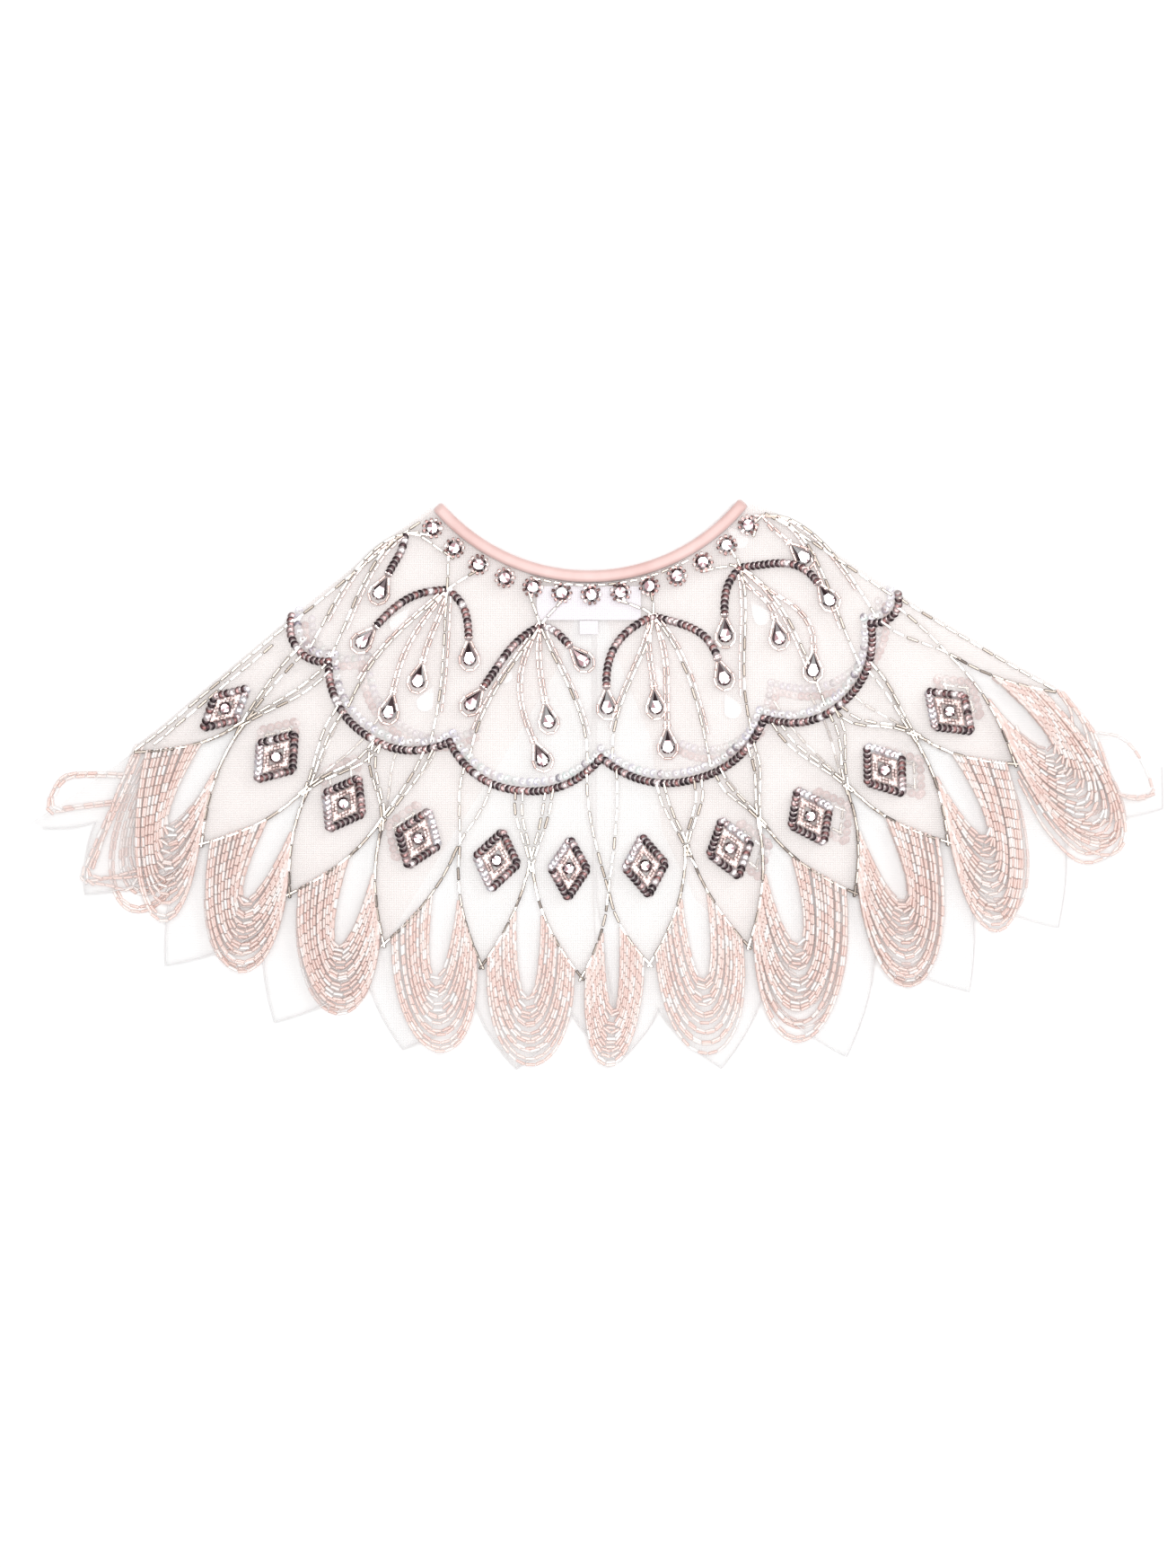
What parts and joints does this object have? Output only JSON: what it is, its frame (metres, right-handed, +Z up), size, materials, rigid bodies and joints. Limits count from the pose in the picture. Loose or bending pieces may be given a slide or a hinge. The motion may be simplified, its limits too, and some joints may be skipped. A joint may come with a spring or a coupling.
{
  "type": "beaded capelet",
  "caption": "Child's sheer net capelet with petal hem, bead and stone embroidery, a longer sheer lining, satin neck binding and swags of bugle bead fringe, laid flat.",
  "frame": {"origin": "on the surface that the capelet lies on, under the middle of its bounding box", "axes": "+X to the viewer's right across the capelet, +Y from the hem up to the neck, +Z up out of the front"},
  "size_m": [0.5569, 0.2809, 0.0104],
  "materials": {
    "net": "fine nude net",
    "lining": "sheer",
    "satin": "satin",
    "label": "woven",
    "bugle_beads": "lined glass"
  },
  "bodies": {
    "root": {"overlay": "net", "lining": "lining", "neck_binding": "satin", "label": "label", "label_tab": "label", "fringe_front_01": "bugle_beads", "fringe_front_02": "bugle_beads", "fringe_front_03": "bugle_beads", "fringe_front_04": "bugle_beads", "fringe_front_05": "bugle_beads", "fringe_front_06": "bugle_beads", "fringe_front_07": "bugle_beads", "fringe_front_08": "bugle_beads", "fringe_front_09": "bugle_beads", "fringe_front_10": "bugle_beads", "fringe_front_11": "bugle_beads", "fringe_back_left_1": "bugle_beads", "fringe_back_left_2": "bugle_beads", "fringe_back_left_3": "bugle_beads", "fringe_back_right_1": "bugle_beads", "fringe_back_right_2": "bugle_beads", "fringe_back_right_3": "bugle_beads", "fringe_back_right_4": "bugle_beads"}
  },
  "joints": []
}
